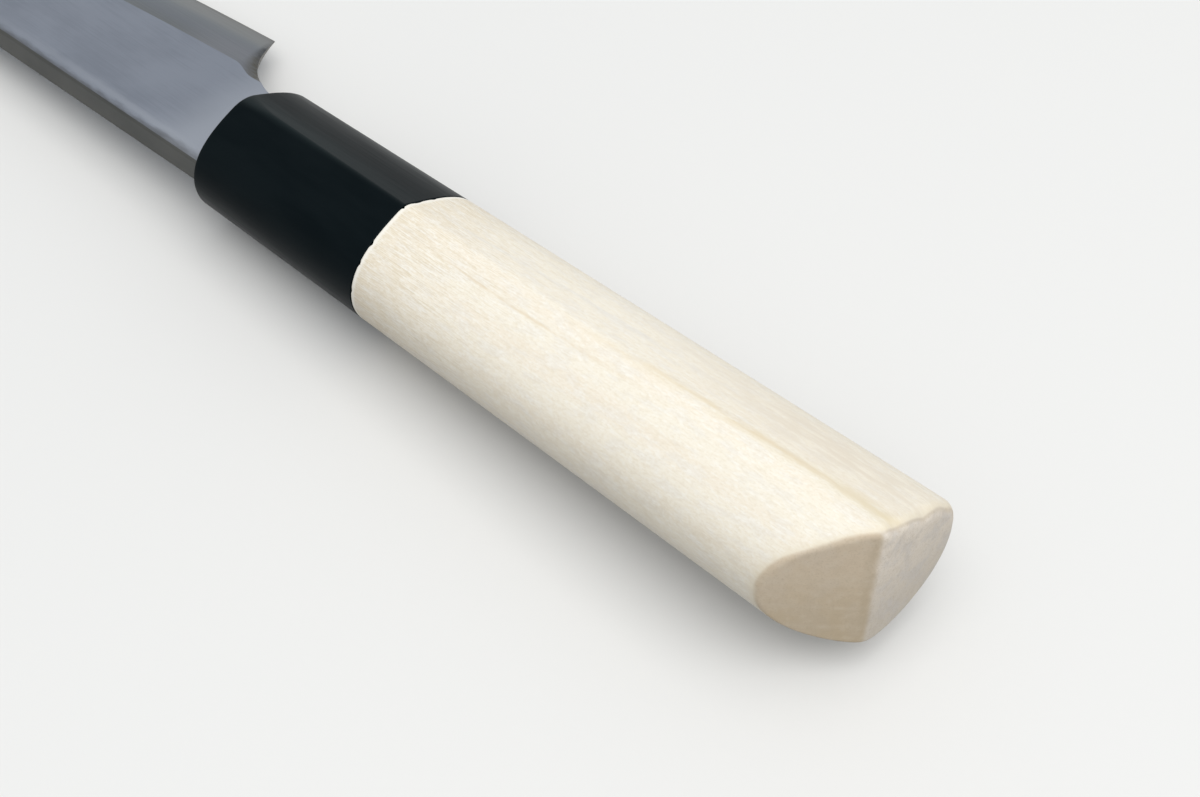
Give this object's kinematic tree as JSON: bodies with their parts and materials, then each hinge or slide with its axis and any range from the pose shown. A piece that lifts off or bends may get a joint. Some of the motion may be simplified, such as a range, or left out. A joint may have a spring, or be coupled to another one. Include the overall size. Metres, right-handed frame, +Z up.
{
  "type": "honesuki knife",
  "caption": "Boning knife with a pointed single-bevel laminated blade, a concave heel notch and a ridged pale wooden handle with a black ferrule; for jointing poultry by hand.",
  "frame": {"origin": "middle of the footprint, on the surface that the knife lies on", "axes": "+X runs along the knife towards the tip, +Y across it towards the spine, +Z up, out of the bevelled face; the knife lies on the front of its ferrule and its tip, tipped 2.8 degrees towards the tip and rolled 6.3 degrees towards the edge"},
  "size_m": [0.2992, 0.0362, 0.0287],
  "materials": {
    "soft_iron": "satin ground along the blade",
    "hard_steel": "fine ground, a little brighter than the iron",
    "black_ferrule": "polished satin black",
    "magnolia_wood": "bare sanded pale wood with straight fine grain"
  },
  "bodies": {
    "root": {"iron_blade_and_tang": "soft_iron", "edge_steel": "hard_steel", "ferrule": "black_ferrule", "wooden_grip": "magnolia_wood"}
  },
  "joints": []
}
